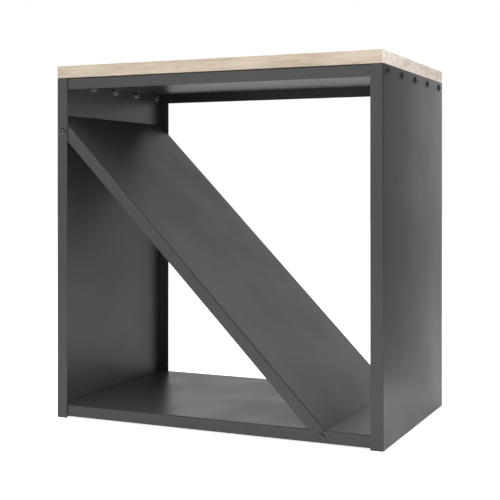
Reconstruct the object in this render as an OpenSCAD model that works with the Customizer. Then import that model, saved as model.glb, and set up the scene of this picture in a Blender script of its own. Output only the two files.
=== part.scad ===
// Log holder: an open box of folded sheet steel under a solid oak board, with a
// sloping divider between the left posts and the bottom tray.
// The origin is on the floor in the middle of the box: X right, Y back, Z up.

/* [Steel body] */
// Width over the outer faces of the two side panels
body_w = 800; // [650:10:1000]
// Depth over the faces of the front and rear posts
body_d = 500; // [350:10:650]
// Height of the steel, from the floor to the underside of the oak board
body_h = 800; // [650:10:1000]
// Thickness of the sheet that the steel pieces are folded from
sheet = 3; // [2:0.5:3.5]
// Inside radius of every fold
fold_r = 1; // [0.5:0.25:2]

/* [Side panels] */
// Width of a post, which is the lip folded in from a side panel
post_w = 28; // [25:1:45]
// Gap between the top edge of a side panel and the board
panel_drop = 0.75; // [0.5:0.25:3]

/* [Trays] */
// Height of the lips folded down from the top tray
top_lip = 27; // [25:1:45]
// Height of the lips folded down from the bottom tray
base_lip = 26.5; // [25.5:0.5:45]
// Height of the bottom tray's lips above the floor
base_lift = 4; // [1:0.5:20]
// Clearance between a tray and the sheets round it
tray_gap = 0.3; // [0.2:0.1:0.6]
// Length of straight relief between a tray's lip and the fold at its corner
corner_relief = 2; // [1:0.5:6]

/* [Divider] */
// Drop from the top of the steel to the divider's upper face at the left post
divider_drop = 110.5; // [60:0.5:250]
// Distance from the right side's outer face to the divider's upper face at the bottom tray
divider_foot = 128; // [80:1:250]
// Width of the lips folded down from the divider, square to its slope
divider_lip = 27; // [24:1:40]
// Gap between the divider's upper end and the left side panel
divider_end_gap = 1.5; // [1:0.25:3]
// Width and height of the lug on each lip behind the left posts
lug = 24; // [20:1:30]
// Width of the foot tab that passes through the bottom tray
tab_w = 19; // [17:1:24]
// Height of the foot tab that is welded behind the divider's lip
tab_weld = 25; // [15:1:60]
// Clearance round a foot tab in its slot
slot_gap = 0.5; // [0.3:0.1:1.5]

/* [Oak board] */
// Thickness of the board
board_t = 28; // [25:1:40]
// Radius of the board's upright corners
board_corner = 4; // [3.5:0.5:8]
// Width of the chamfer on the board's edges
board_edge = 0.8; // [0.3:0.1:3]

/* [Flat button head bolts] */
// Thread diameter of the bolts and of the studs
bolt_d = 8; // [6:0.5:8]
// Diameter of a bolt's head
head_d = 17; // [15:0.5:18]
// Height of a bolt's head
head_h = 3.4; // [2.8:0.1:4.4]
// Height of the straight rim under the head's dome
head_rim = 1.2; // [0.6:0.1:1.5]
// Diameter of the flat on top of the head
head_flat = 11; // [9:0.5:12]
// Width across the flats of the hexagon socket
socket_af = 6; // [5:0.5:6]
// Depth of the hexagon socket
socket_depth = 2.6; // [2:0.1:3.2]
// Length of thread that stands out past a nut on a bolt
thread_out = 1.3; // [0.5:0.1:6]
// Radial clearance of a bolt or a screw in the sheet
hole_gap = 0.5; // [0.3:0.1:1]

/* [Washers and nuts] */
// Outside diameter of a washer
washer_d = 16; // [15:0.5:18]
// Thickness of a washer
washer_t = 1.6; // [1:0.1:2.5]
// Radial clearance of a washer or a nut on its thread
thread_gap = 0.2; // [0.1:0.05:0.3]
// Width across the flats of a nut
nut_af = 13; // [12:0.5:15]
// Height of a nut
nut_h = 6.8; // [5:0.2:8]

/* [Bolt places] */
// Number of bolts in the row at the top of each side
side_bolts = 5; // [2:1:8]
// Distance from the post's face to the first bolt of the row
side_inset = 35; // [25:1:80]
// Drop from the top of the steel to the row of bolts
side_drop = 14.5; // [13.5:0.5:16]
// Number of welded studs that hold each side of the bottom tray
base_studs = 3; // [2:1:6]
// Distance from the post's face to the first stud
stud_inset = 60; // [30:1:120]
// Drop from the bottom tray's top face to the studs and the divider's foot bolts
base_drop = 13.5; // [12.5:0.5:15]
// Diameter of the flange at the root of a welded stud
stud_flange_d = 10; // [9.5:0.5:12]
// Thickness of the flange at the root of a welded stud
stud_flange_t = 1; // [0.6:0.1:2]
// Length of thread that stands out past a nut on a stud
stud_out = 3.3; // [1:0.1:6]
// Distance from a side's outer face to the divider's bolt in the post
post_bolt_in = 15; // [13.5:0.5:16]
// Drop from the divider's upper face at the left post to the bolt in the post
post_bolt_drop = 16; // [10:0.5:30]
// Distance from the divider's foot to its bolt in the bottom tray, towards the left
foot_bolt_in = 10; // [8:0.5:14]

/* [Wood screws] */
// Number of screws in each of the two rows under the board
screws = 4; // [2:1:6]
// Distance from the board's ends to the first screw
screw_inset = 80; // [60:1:160]
// Distance from the board's long edges to the two rows
screw_row = 70; // [40:1:120]
// Diameter of a screw's thread
screw_d = 5; // [4:0.5:6]
// Length of a screw inside the board
screw_bite = 20; // [12:1:22]
// Diameter of a screw's countersunk head
screw_head_d = 10; // [9:0.5:12]
// Width of the cross recess in a screw's head
screw_cross = 1.3; // [1:0.1:2]
// Length of the rear slots, which let the board swell across its grain
screw_slot = 6; // [3:0.5:12]

/* [Hidden] */
$fn = 64;

steel_colour = [0.33, 0.33, 0.335];
oak_colour = [0.82, 0.76, 0.68];
bolt_colour = [0.30, 0.30, 0.31];
zinc_colour = [0.70, 0.71, 0.72];

LEFT = -1;
RIGHT = 1;
FRONT = -1;
REAR = 1;
past = 1;

fold_out = fold_r + sheet;
tray_w = body_w - 2 * (sheet + tray_gap);
tray_d = body_d - 2 * (sheet + tray_gap);
base_top = base_lift + base_lip;

foot_x = body_w / 2 - divider_foot;
post_edge_x = -body_w / 2 + post_w;
divider_rise = body_h - divider_drop - base_top;
slope = atan2(divider_rise, foot_x - post_edge_x);
divider_x0 = -body_w / 2 + sheet + divider_end_gap;
divider_z0 = base_top + tray_gap;

bolt_hole_d = bolt_d + 2 * hole_gap;
bolt_len = 2 * sheet + tray_gap + washer_t + nut_h + thread_out;
stud_len = tray_gap + sheet + washer_t + nut_h + stud_out;
stud_hole_d = stud_flange_d + 2 * hole_gap;
screw_hole_d = screw_d + 2 * hole_gap;
screw_head_t = (screw_head_d - screw_d) / 2;

side_bolt_z = body_h - side_drop;
base_bolt_z = base_top - base_drop;
post_bolt_x = -body_w / 2 + post_bolt_in;
post_bolt_z = body_h - divider_drop - post_bolt_drop;
foot_bolt_x = foot_x - foot_bolt_in;
tab_bottom = base_lift + tray_gap;

side_bolt_ys = spaced(side_bolts, body_d - 2 * side_inset);
stud_ys = spaced(base_studs, body_d - 2 * stud_inset);
screw_xs = spaced(screws, body_w - 2 * screw_inset);
screw_y = body_d / 2 - screw_row;

// Places of count points spread evenly over a span that is centred on zero
function spaced(count, span) =
    [for (i = [0 : count - 1]) (i / (count - 1) - 0.5) * span];

// Corner radius of a regular hexagon from its width across the flats
function hex_r(across_flats) = across_flats / 2 / cos(30);

// Cross-section of a folded channel: the web lies along x with its outer face at
// y = 0, and the two lips stand up along y
module channel_section(web, lip) {
    translate([fold_out, 0])
        square([web - 2 * fold_out, sheet]);
    for (end = [0, 1])
        translate([end * web, 0])
            mirror([end, 0]) {
                translate([0, fold_out])
                    square([sheet, lip - fold_out]);
                translate([fold_out, fold_out])
                    quarter_fold();
            }
}

// A quarter of the ring that the sheet makes round a fold, in the corner x < 0, y < 0
module quarter_fold() {
    intersection() {
        difference() {
            circle(r = fold_out);
            circle(r = fold_r);
        }
        translate([-fold_out, -fold_out])
            square(fold_out);
    }
}

// Stands a cross-section up so that it runs along x: its x becomes y, and its y points down
module run_along_x(length) {
    rotate([90, 0, 90])
        mirror([0, 1])
            linear_extrude(length, center = true)
                children();
}

// Stands a cross-section up so that it runs along y: its y points down
module run_along_y(length) {
    rotate([90, 0, 0])
        mirror([0, 1])
            linear_extrude(length, center = true)
                children();
}

// A sheet with a lip folded down on each of its four sides, its top face at z = 0
module folded_tray(lip) {
    notch = fold_out + corner_relief;
    run_along_x(tray_w - 2 * notch)
        translate([-tray_d / 2, 0])
            channel_section(tray_d, lip);
    run_along_y(tray_d - 2 * notch)
        translate([-tray_w / 2, 0])
            channel_section(tray_w, lip);
}

// Puts its children on a side's outer face, with their z pointing away from the box
module on_side(side) {
    translate([side * body_w / 2, 0, 0])
        rotate([0, side * 90, 0])
            children();
}

// Puts its children at a depth y in front of or behind the box, with their z pointing away
module facing(end, depth) {
    translate([0, end * depth, 0])
        rotate([-end * 90, 0, 0])
            children();
}

// Stands its children at each place in a row of ys along a side, at the height z
module side_row(side, ys, z) {
    for (y = ys)
        translate([0, y, z])
            on_side(side)
                children();
}

// Stands its children at the divider's bolt in the post or in the bottom tray
module at_post_bolt(end) {
    translate([post_bolt_x, 0, post_bolt_z])
        facing(end, body_d / 2)
            children();
}

module at_foot_bolt(end) {
    translate([foot_bolt_x, 0, base_bolt_z])
        facing(end, tray_d / 2)
            children();
}

// A drill that reaches depth to both sides of z = 0
module drill(diameter, depth) {
    cylinder(d = diameter, h = 2 * depth, center = true);
}

// A flat button head bolt: the underside of its head is at z = 0 and its shank points down
module button_bolt() {
    rim_r = head_d / 2;
    flat_r = head_flat / 2;
    centre_z = (pow(head_h, 2) - pow(head_rim, 2) + pow(flat_r, 2) - pow(rim_r, 2))
        / (2 * (head_h - head_rim));
    dome_r = sqrt(pow(rim_r, 2) + pow(head_rim - centre_z, 2));
    tip = bolt_d / 8;
    difference() {
        union() {
            intersection() {
                cylinder(r = rim_r, h = head_h);
                translate([0, 0, centre_z])
                    sphere(r = dome_r);
            }
            translate([0, 0, tip - bolt_len])
                cylinder(d = bolt_d, h = bolt_len - tip + head_rim);
            translate([0, 0, -bolt_len])
                cylinder(d1 = bolt_d - 2 * tip, d2 = bolt_d, h = tip);
        }
        translate([0, 0, head_h - socket_depth])
            cylinder(r = hex_r(socket_af), h = socket_depth + past, $fn = 6);
    }
}

// A flat washer whose face is at z = 0 and whose body points down
module flat_washer() {
    translate([0, 0, -washer_t])
        difference() {
            cylinder(d = washer_d, h = washer_t);
            translate([0, 0, -past])
                cylinder(d = bolt_d + 2 * thread_gap, h = washer_t + 2 * past);
        }
}

// A hexagon nut with cut corners, whose face is at z = 0 and whose body points down
module hex_nut() {
    corner_r = hex_r(nut_af);
    bevel = (corner_r - nut_af / 2) * tan(30);
    translate([0, 0, -nut_h])
        difference() {
            intersection() {
                cylinder(r = corner_r, h = nut_h, $fn = 6);
                rotate_extrude()
                    polygon([
                        [0, 0],
                        [nut_af / 2, 0],
                        [corner_r, bevel],
                        [corner_r, nut_h - bevel],
                        [nut_af / 2, nut_h],
                        [0, nut_h],
                    ]);
            }
            translate([0, 0, -past])
                cylinder(d = bolt_d + 2 * thread_gap, h = nut_h + 2 * past);
        }
}

// A threaded stud with a flange at its root, standing on z = 0 and pointing down
module weld_stud() {
    tip = bolt_d / 8;
    translate([0, 0, -stud_flange_t])
        cylinder(d = stud_flange_d, h = stud_flange_t);
    translate([0, 0, tip - stud_len])
        cylinder(d = bolt_d, h = stud_len - tip);
    translate([0, 0, -stud_len])
        cylinder(d1 = bolt_d - 2 * tip, d2 = bolt_d, h = tip);
}

// A countersunk wood screw that points up, with the flat face of its head at z = 0
module wood_screw() {
    reach = sheet + screw_bite;
    tip = screw_d;
    cross_l = screw_head_d / 2;
    difference() {
        union() {
            cylinder(d1 = screw_head_d, d2 = screw_d, h = screw_head_t);
            cylinder(d = screw_d, h = reach - tip);
            translate([0, 0, reach - tip])
                cylinder(d1 = screw_d, d2 = screw_d / 5, h = tip);
        }
        for (turn = [0, 90])
            rotate(turn)
                translate([-cross_l / 2, -screw_cross / 2, -past])
                    cube([cross_l, screw_cross, screw_head_t / 2 + past]);
    }
}

// The cone that the head of a screw fills, run on below z = 0 and wider by gap all round
module countersink(gap) {
    translate([0, 0, -past])
        cylinder(d1 = screw_head_d + 2 * (past + gap), d2 = screw_d + 2 * gap, h = screw_head_t + past);
}

// The same cone drawn out along y, to the length of a slot
module long_countersink() {
    for (end = [-1, 1])
        translate([0, end * screw_slot / 2, 0])
            countersink(0);
    rotate([90, 0, 0])
        linear_extrude(screw_slot, center = true)
            polygon([
                [-screw_head_d / 2 - past, -past],
                [screw_head_d / 2 + past, -past],
                [screw_d / 2, screw_head_t],
                [-screw_d / 2, screw_head_t],
            ]);
}

// A block centred on x and y that stands on z = 0, its upright corners rounded and its
// other edges cut back
module eased_block(size, corner, edge) {
    translate([0, 0, size.z / 2]) {
        rotate([90, 0, 0])
            linear_extrude(size.y - 2 * corner, center = true)
                cut_rectangle(size.x, size.z, edge);
        rotate([90, 0, 90])
            linear_extrude(size.x - 2 * corner, center = true)
                cut_rectangle(size.y, size.z, edge);
    }
    for (x = [LEFT, RIGHT])
        for (y = [FRONT, REAR])
            translate([x * (size.x / 2 - corner), y * (size.y / 2 - corner), 0])
                rotate_extrude()
                    polygon([
                        [0, 0], [corner - edge, 0], [corner, edge],
                        [corner, size.z - edge], [corner - edge, size.z], [0, size.z],
                    ]);
}

// A centred rectangle with its corners cut back
module cut_rectangle(width, height, cut) {
    x = width / 2;
    y = height / 2;
    polygon([
        [cut - x, -y], [x - cut, -y], [x, cut - y], [x, y - cut],
        [x - cut, y], [cut - x, y], [-x, y - cut], [-x, cut - y],
    ]);
}

// Repeats its children at every wood screw, from under the top tray
module screw_places(y) {
    for (x = screw_xs)
        translate([x, y, body_h - sheet])
            children();
}

module top_board() {
    color(oak_colour)
        difference() {
            translate([0, 0, body_h])
                eased_block([body_w, body_d, board_t], board_corner, board_edge);
            for (y = [-screw_y, screw_y])
                screw_places(y) {
                    cylinder(d = screw_d + 2 * thread_gap, h = sheet + screw_bite + thread_gap);
                    countersink(thread_gap);
                }
        }
}

module top_board_screws() {
    color(bolt_colour)
        for (y = [-screw_y, screw_y])
            screw_places(y)
                wood_screw();
}

module top_tray() {
    color(steel_colour)
        difference() {
            translate([0, 0, body_h])
                folded_tray(top_lip);
            for (side = [LEFT, RIGHT])
                side_row(side, side_bolt_ys, side_bolt_z)
                    drill(bolt_hole_d, sheet + tray_gap + sheet + past);
            screw_places(-screw_y) {
                drill(screw_hole_d, sheet + past);
                countersink(0);
            }
            screw_places(screw_y) {
                for (end = [-1, 1])
                    translate([0, end * screw_slot / 2, 0])
                        drill(screw_hole_d, sheet + past);
                cube([screw_hole_d, screw_slot, 2 * (sheet + past)], center = true);
                long_countersink();
            }
        }
}

module bottom_tray() {
    slot_x0 = foot_bolt_x - tab_w / 2 - slot_gap;
    slot_w = tab_w + 2 * slot_gap;
    slot_depth = sheet + slot_gap;
    color(steel_colour)
        difference() {
            translate([0, 0, base_top])
                folded_tray(base_lip);
            for (side = [LEFT, RIGHT])
                side_row(side, stud_ys, base_bolt_z)
                    drill(stud_hole_d, sheet + tray_gap + sheet + past);
            for (end = [FRONT, REAR]) {
                at_foot_bolt(end)
                    drill(bolt_hole_d, sheet + past);
                translate([slot_x0, end * (tray_d / 2 - sheet - slot_depth / 2) - slot_depth / 2,
                           base_top - fold_out - past])
                    cube([slot_w, slot_depth, fold_out + 2 * past]);
            }
        }
}

// A side panel with its web at the side and a post folded in at the front and the rear
module side_panel(side) {
    translate([side * body_w / 2, 0, 0])
        rotate([0, 0, side * 90])
            linear_extrude(body_h - panel_drop)
                translate([-body_d / 2, 0])
                    channel_section(body_d, post_w);
}

module left_side_panel() {
    color(steel_colour)
        difference() {
            side_panel(LEFT);
            side_row(LEFT, side_bolt_ys, side_bolt_z)
                drill(bolt_hole_d, sheet + past);
            for (end = [FRONT, REAR])
                at_post_bolt(end)
                    drill(bolt_hole_d, sheet + past);
        }
}

module right_side_panel() {
    color(steel_colour)
        difference() {
            side_panel(RIGHT);
            side_row(RIGHT, side_bolt_ys, side_bolt_z)
                drill(bolt_hole_d, sheet + past);
        }
}

// The divider's folded channel, running up to the left past both of its ends
module divider_channel() {
    spare = body_d;
    run = norm([foot_x - post_edge_x, divider_rise]) + 2 * spare;
    translate([foot_x, 0, base_top])
        rotate([0, slope - 90, 0])
            rotate([0, 0, 90])
                translate([-tray_d / 2, 0, -spare])
                    linear_extrude(run)
                        channel_section(tray_d, divider_lip);
}

module diagonal_divider() {
    color(steel_colour)
        difference() {
            union() {
                intersection() {
                    divider_channel();
                    translate([divider_x0, -body_d / 2, divider_z0])
                        cube([body_w, body_d, body_h - divider_z0 - top_lip]);
                }
                for (end = [FRONT, REAR])
                    translate([divider_x0, end * (tray_d - sheet) / 2 - sheet / 2, post_bolt_z - lug / 2])
                        cube([post_edge_x - divider_end_gap - divider_x0, sheet, lug]);
            }
            for (end = [FRONT, REAR])
                at_post_bolt(end)
                    drill(bolt_hole_d, 2 * sheet + tray_gap + past);
        }
}

// Outline of a foot tab: it stands in its slot, and its top follows the underside of the divider
module tab_outline() {
    x0 = foot_bolt_x - tab_w / 2;
    x1 = foot_bolt_x + tab_w / 2;
    weld_top = base_top + tab_weld;
    square_top = divider_z0;
    difference() {
        union() {
            translate([x0, tab_bottom])
                square([tab_w, square_top - tab_bottom]);
            polygon([
                [x0, square_top],
                [x1, square_top],
                [x1 - (weld_top - square_top) / tan(slope), weld_top],
                [x0 - (weld_top - square_top) / tan(slope), weld_top],
            ]);
        }
        translate([foot_x, base_top])
            rotate(-slope)
                translate([-body_w, -(fold_out + tray_gap)])
                    square([2 * body_w, body_h]);
    }
}

module divider_foot_tabs() {
    color(steel_colour)
        for (end = [FRONT, REAR])
            difference() {
                translate([0, end * (tray_d / 2 - 1.5 * sheet), 0])
                    rotate([90, 0, 0])
                        linear_extrude(sheet, center = true)
                            tab_outline();
                at_foot_bolt(end)
                    drill(bolt_hole_d, 2 * sheet + past);
            }
}

module top_bolts(side) {
    color(bolt_colour)
        side_row(side, side_bolt_ys, side_bolt_z)
            button_bolt();
}

module top_washers(side) {
    color(zinc_colour)
        side_row(side, side_bolt_ys, side_bolt_z)
            translate([0, 0, -2 * sheet - tray_gap])
                flat_washer();
}

module top_nuts(side) {
    color(zinc_colour)
        side_row(side, side_bolt_ys, side_bolt_z)
            translate([0, 0, -2 * sheet - tray_gap - washer_t])
                hex_nut();
}

module base_stud_row(side) {
    color(zinc_colour)
        side_row(side, stud_ys, base_bolt_z)
            translate([0, 0, -sheet])
                weld_stud();
}

module base_washers(side) {
    color(zinc_colour)
        side_row(side, stud_ys, base_bolt_z)
            translate([0, 0, -2 * sheet - tray_gap])
                flat_washer();
}

module base_nuts(side) {
    color(zinc_colour)
        side_row(side, stud_ys, base_bolt_z)
            translate([0, 0, -2 * sheet - tray_gap - washer_t])
                hex_nut();
}

module divider_bolts(end) {
    color(bolt_colour) {
        at_post_bolt(end)
            button_bolt();
        at_foot_bolt(end)
            button_bolt();
    }
}

module divider_washers(end) {
    color(zinc_colour) {
        at_post_bolt(end)
            translate([0, 0, -2 * sheet - tray_gap])
                flat_washer();
        at_foot_bolt(end)
            translate([0, 0, -2 * sheet])
                flat_washer();
    }
}

module divider_nuts(end) {
    color(zinc_colour) {
        at_post_bolt(end)
            translate([0, 0, -2 * sheet - tray_gap - washer_t])
                hex_nut();
        at_foot_bolt(end)
            translate([0, 0, -2 * sheet - washer_t])
                hex_nut();
    }
}

top_board();
top_board_screws();
top_tray();
bottom_tray();
left_side_panel();
right_side_panel();
diagonal_divider();
divider_foot_tabs();
top_bolts(LEFT);  // left_top_bolts
top_bolts(RIGHT);  // right_top_bolts
top_washers(LEFT);  // left_top_washers
top_washers(RIGHT);  // right_top_washers
top_nuts(LEFT);  // left_top_nuts
top_nuts(RIGHT);  // right_top_nuts
base_stud_row(LEFT);  // left_base_studs
base_stud_row(RIGHT);  // right_base_studs
base_washers(LEFT);  // left_base_washers
base_washers(RIGHT);  // right_base_washers
base_nuts(LEFT);  // left_base_nuts
base_nuts(RIGHT);  // right_base_nuts
divider_bolts(FRONT);  // divider_front_bolts
divider_bolts(REAR);  // divider_rear_bolts
divider_washers(FRONT);  // divider_front_washers
divider_washers(REAR);  // divider_rear_washers
divider_nuts(FRONT);  // divider_front_nuts
divider_nuts(REAR);  // divider_rear_nuts
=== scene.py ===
import math
import random

import bmesh
import bpy
from bpy.props import FloatProperty, FloatVectorProperty, IntProperty, PointerProperty
from mathutils import Matrix, Vector


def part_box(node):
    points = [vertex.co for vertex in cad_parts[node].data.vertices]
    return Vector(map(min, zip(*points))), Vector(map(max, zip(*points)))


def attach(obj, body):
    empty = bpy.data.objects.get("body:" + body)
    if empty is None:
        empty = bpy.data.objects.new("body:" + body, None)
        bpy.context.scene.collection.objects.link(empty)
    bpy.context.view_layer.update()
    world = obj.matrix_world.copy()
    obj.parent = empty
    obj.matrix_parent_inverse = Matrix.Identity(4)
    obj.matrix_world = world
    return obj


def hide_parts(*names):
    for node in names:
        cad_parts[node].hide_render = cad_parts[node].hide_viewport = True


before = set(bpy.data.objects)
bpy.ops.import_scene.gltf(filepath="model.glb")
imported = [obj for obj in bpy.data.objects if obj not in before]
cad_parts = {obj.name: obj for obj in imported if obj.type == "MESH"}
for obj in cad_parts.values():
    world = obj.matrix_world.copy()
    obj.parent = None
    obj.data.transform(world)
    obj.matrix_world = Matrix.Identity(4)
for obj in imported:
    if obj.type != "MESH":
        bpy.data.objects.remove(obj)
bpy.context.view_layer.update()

bl_info = {
    "name": "Log holder",
    "version": (1, 0, 0),
    "blender": (4, 5, 0),
    "location": "3D View > Sidebar > Log holder",
    "description": "Dresses the frame of a log holder: coated sheet steel under a pale oak board",
    "category": "Add Mesh",
}

MM = 0.001
BODY = "root"
MERGE = 0.002 * MM

# Edges sharper than these angles are eased, and shaded as sharp
EASED_ANGLE = math.radians(40.0)
SHARP_ANGLE = math.radians(35.0)

BOLT = "dark_bolt_steel"
ZINC = "zinc_plated_steel"

LEFT = Vector((-1, 0, 0))
RIGHT = Vector((1, 0, 0))
FRONT = Vector((0, -1, 0))
REAR = Vector((0, 1, 0))
DOWN = Vector((0, 0, -1))

# The outward direction of each group of bolts, nuts and washers
BOLT_ROWS = {"left_top": LEFT, "right_top": RIGHT, "divider_front": FRONT, "divider_rear": REAR}
STUD_ROWS = {"left_base": LEFT, "right_base": RIGHT}
FOLDED_SHEETS = (
    "top_tray", "bottom_tray", "left_side_panel", "right_side_panel", "diagonal_divider",
)


class SteelSettings(bpy.types.PropertyGroup):
    """Edges, coat and welds of the folded sheets"""

    edge_radius: FloatProperty(
        name="Edge radius",
        description="Rounding that the coat leaves on the cut edges of the sheet",
        default=0.4 * MM, min=0.1 * MM, max=1.0 * MM, precision=5, unit="LENGTH",
    )
    coat_colour: FloatVectorProperty(
        name="Coat",
        description="Colour of the anthracite powder coat",
        default=(0.0395, 0.039, 0.039), size=3, min=0.0, max=1.0, subtype="COLOR",
    )
    coat_roughness: FloatProperty(
        name="Coat roughness",
        description="Roughness of the satin powder coat",
        default=0.36, min=0.1, max=1.0, subtype="FACTOR",
    )
    peel_size: FloatProperty(
        name="Peel size",
        description="Distance between the dimples of the powder coat",
        default=2.4 * MM, min=0.5 * MM, max=10 * MM, precision=5, unit="LENGTH",
    )
    peel_depth: FloatProperty(
        name="Peel depth",
        description="Depth of the dimples of the powder coat",
        default=0.02 * MM, min=0.0, max=0.2 * MM, precision=6, unit="LENGTH",
    )
    weld_radius: FloatProperty(
        name="Weld radius",
        description="Radius of the weld runs that hold the divider's foot tabs",
        default=1.6 * MM, min=0.5 * MM, max=2.5 * MM, precision=5, unit="LENGTH",
    )
    weld_ripple: FloatProperty(
        name="Weld ripple",
        description="Distance between the ripples of a weld run",
        default=2.2 * MM, min=1 * MM, max=5 * MM, precision=5, unit="LENGTH",
    )


class OakSettings(bpy.types.PropertyGroup):
    """Staves, grain and colours of the board"""

    staves: IntProperty(
        name="Staves",
        description="Number of full-length staves glued edge to edge",
        default=7, min=1, max=16,
    )
    stave_spread: FloatProperty(
        name="Stave spread",
        description="How far a glue joint may stray from an even spacing",
        default=12 * MM, min=0.0, max=20 * MM, precision=4, unit="LENGTH",
    )
    corner_radius: FloatProperty(
        name="Corner radius",
        description="Rounding of the board's upright corners",
        default=4 * MM, min=2 * MM, max=8 * MM, precision=4, unit="LENGTH",
    )
    edge_radius: FloatProperty(
        name="Edge radius",
        description="Rounding of the board's sanded edges",
        default=0.8 * MM, min=0.2 * MM, max=3 * MM, precision=5, unit="LENGTH",
    )
    ring_width: FloatProperty(
        name="Ring width",
        description="Width of one year's growth",
        default=3.4 * MM, min=1 * MM, max=10 * MM, precision=5, unit="LENGTH",
    )
    pale_colour: FloatVectorProperty(
        name="Pale wood",
        description="Colour of the limed wood between the pores",
        default=(0.605, 0.515, 0.41), size=3, min=0.0, max=1.0, subtype="COLOR",
    )
    dark_colour: FloatVectorProperty(
        name="Pores",
        description="Colour of the porous start of each ring",
        default=(0.41, 0.325, 0.235), size=3, min=0.0, max=1.0, subtype="COLOR",
    )
    # Partly the end grain's own pale tone and partly a painted sheen, the white haze of rough end
    # grain seen at a slant
    end_colour: FloatVectorProperty(
        name="End grain",
        description="Colour of the pale wood where the grain is cut across",
        default=(0.84, 0.785, 0.695), size=3, min=0.0, max=1.0, subtype="COLOR",
    )
    # The rear stave keeps less of each colour: partly its own darker wood, partly painted shade
    # towards the rear
    rear_tone: FloatVectorProperty(
        name="Rear tone",
        description="How much of each colour the rearmost and darkest stave keeps",
        default=(0.81, 0.71, 0.71), size=3, min=0.5, max=1.2,
    )
    hue_spread: FloatProperty(
        name="Hue spread",
        description="How far patches of the wood stray to a rosy or an olive tone",
        default=0.03, min=0.0, max=0.1, precision=3, subtype="FACTOR",
    )
    seed: IntProperty(
        name="Seed",
        description="Picks the staves and their tones",
        default=11, min=0, max=999,
    )


class FastenerSettings(bpy.types.PropertyGroup):
    """Sizes and finish of the bolts, studs, nuts, washers and screws"""

    thread_size: FloatProperty(
        name="Thread size",
        description="Outside diameter of the bolts' and studs' thread",
        default=8 * MM, min=6 * MM, max=8 * MM, precision=4, unit="LENGTH",
    )
    thread_pitch: FloatProperty(
        name="Thread pitch",
        description="Rise of the bolts' and studs' thread in one turn",
        default=1.25 * MM, min=1 * MM, max=1.5 * MM, precision=5, unit="LENGTH",
    )
    thread_gap: FloatProperty(
        name="Thread gap",
        description="Clearance of a nut or a washer round its thread",
        default=0.2 * MM, min=0.1 * MM, max=0.3 * MM, precision=5, unit="LENGTH",
    )
    head_flat: FloatProperty(
        name="Head flat",
        description="Diameter of the flat on top of a bolt's head",
        default=11 * MM, min=9 * MM, max=12 * MM, precision=4, unit="LENGTH",
    )
    head_rim: FloatProperty(
        name="Head rim",
        description="Height of the straight rim under a head's dome",
        default=1.2 * MM, min=0.6 * MM, max=1.5 * MM, precision=5, unit="LENGTH",
    )
    socket_across: FloatProperty(
        name="Socket",
        description="Width across the flats of a bolt's hexagon socket",
        default=6 * MM, min=5 * MM, max=6 * MM, precision=4, unit="LENGTH",
    )
    socket_depth: FloatProperty(
        name="Socket depth",
        description="Depth of a bolt's hexagon socket",
        default=2.6 * MM, min=2 * MM, max=3.2 * MM, precision=4, unit="LENGTH",
    )
    flange_height: FloatProperty(
        name="Flange",
        description="Thickness of the flange at the root of a welded stud",
        default=1 * MM, min=0.6 * MM, max=2 * MM, precision=4, unit="LENGTH",
    )
    screw_size: FloatProperty(
        name="Screw size",
        description="Outside diameter of a wood screw's thread",
        default=5 * MM, min=4 * MM, max=6 * MM, precision=4, unit="LENGTH",
    )
    screw_pitch: FloatProperty(
        name="Screw pitch",
        description="Rise of a wood screw's thread in one turn",
        default=2.5 * MM, min=1.5 * MM, max=4 * MM, precision=4, unit="LENGTH",
    )
    bolt_colour: FloatVectorProperty(
        name="Bolts",
        description="Colour of the coated bolts and screws",
        default=(0.012, 0.012, 0.0123), size=3, min=0.0, max=1.0, subtype="COLOR",
    )
    zinc_colour: FloatVectorProperty(
        name="Zinc",
        description="Colour of the plated nuts, washers and studs",
        default=(0.56, 0.57, 0.58), size=3, min=0.0, max=1.0, subtype="COLOR",
    )
    seed: IntProperty(
        name="Seed",
        description="Picks how far each fastener is turned",
        default=4, min=0, max=999,
    )


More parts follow.
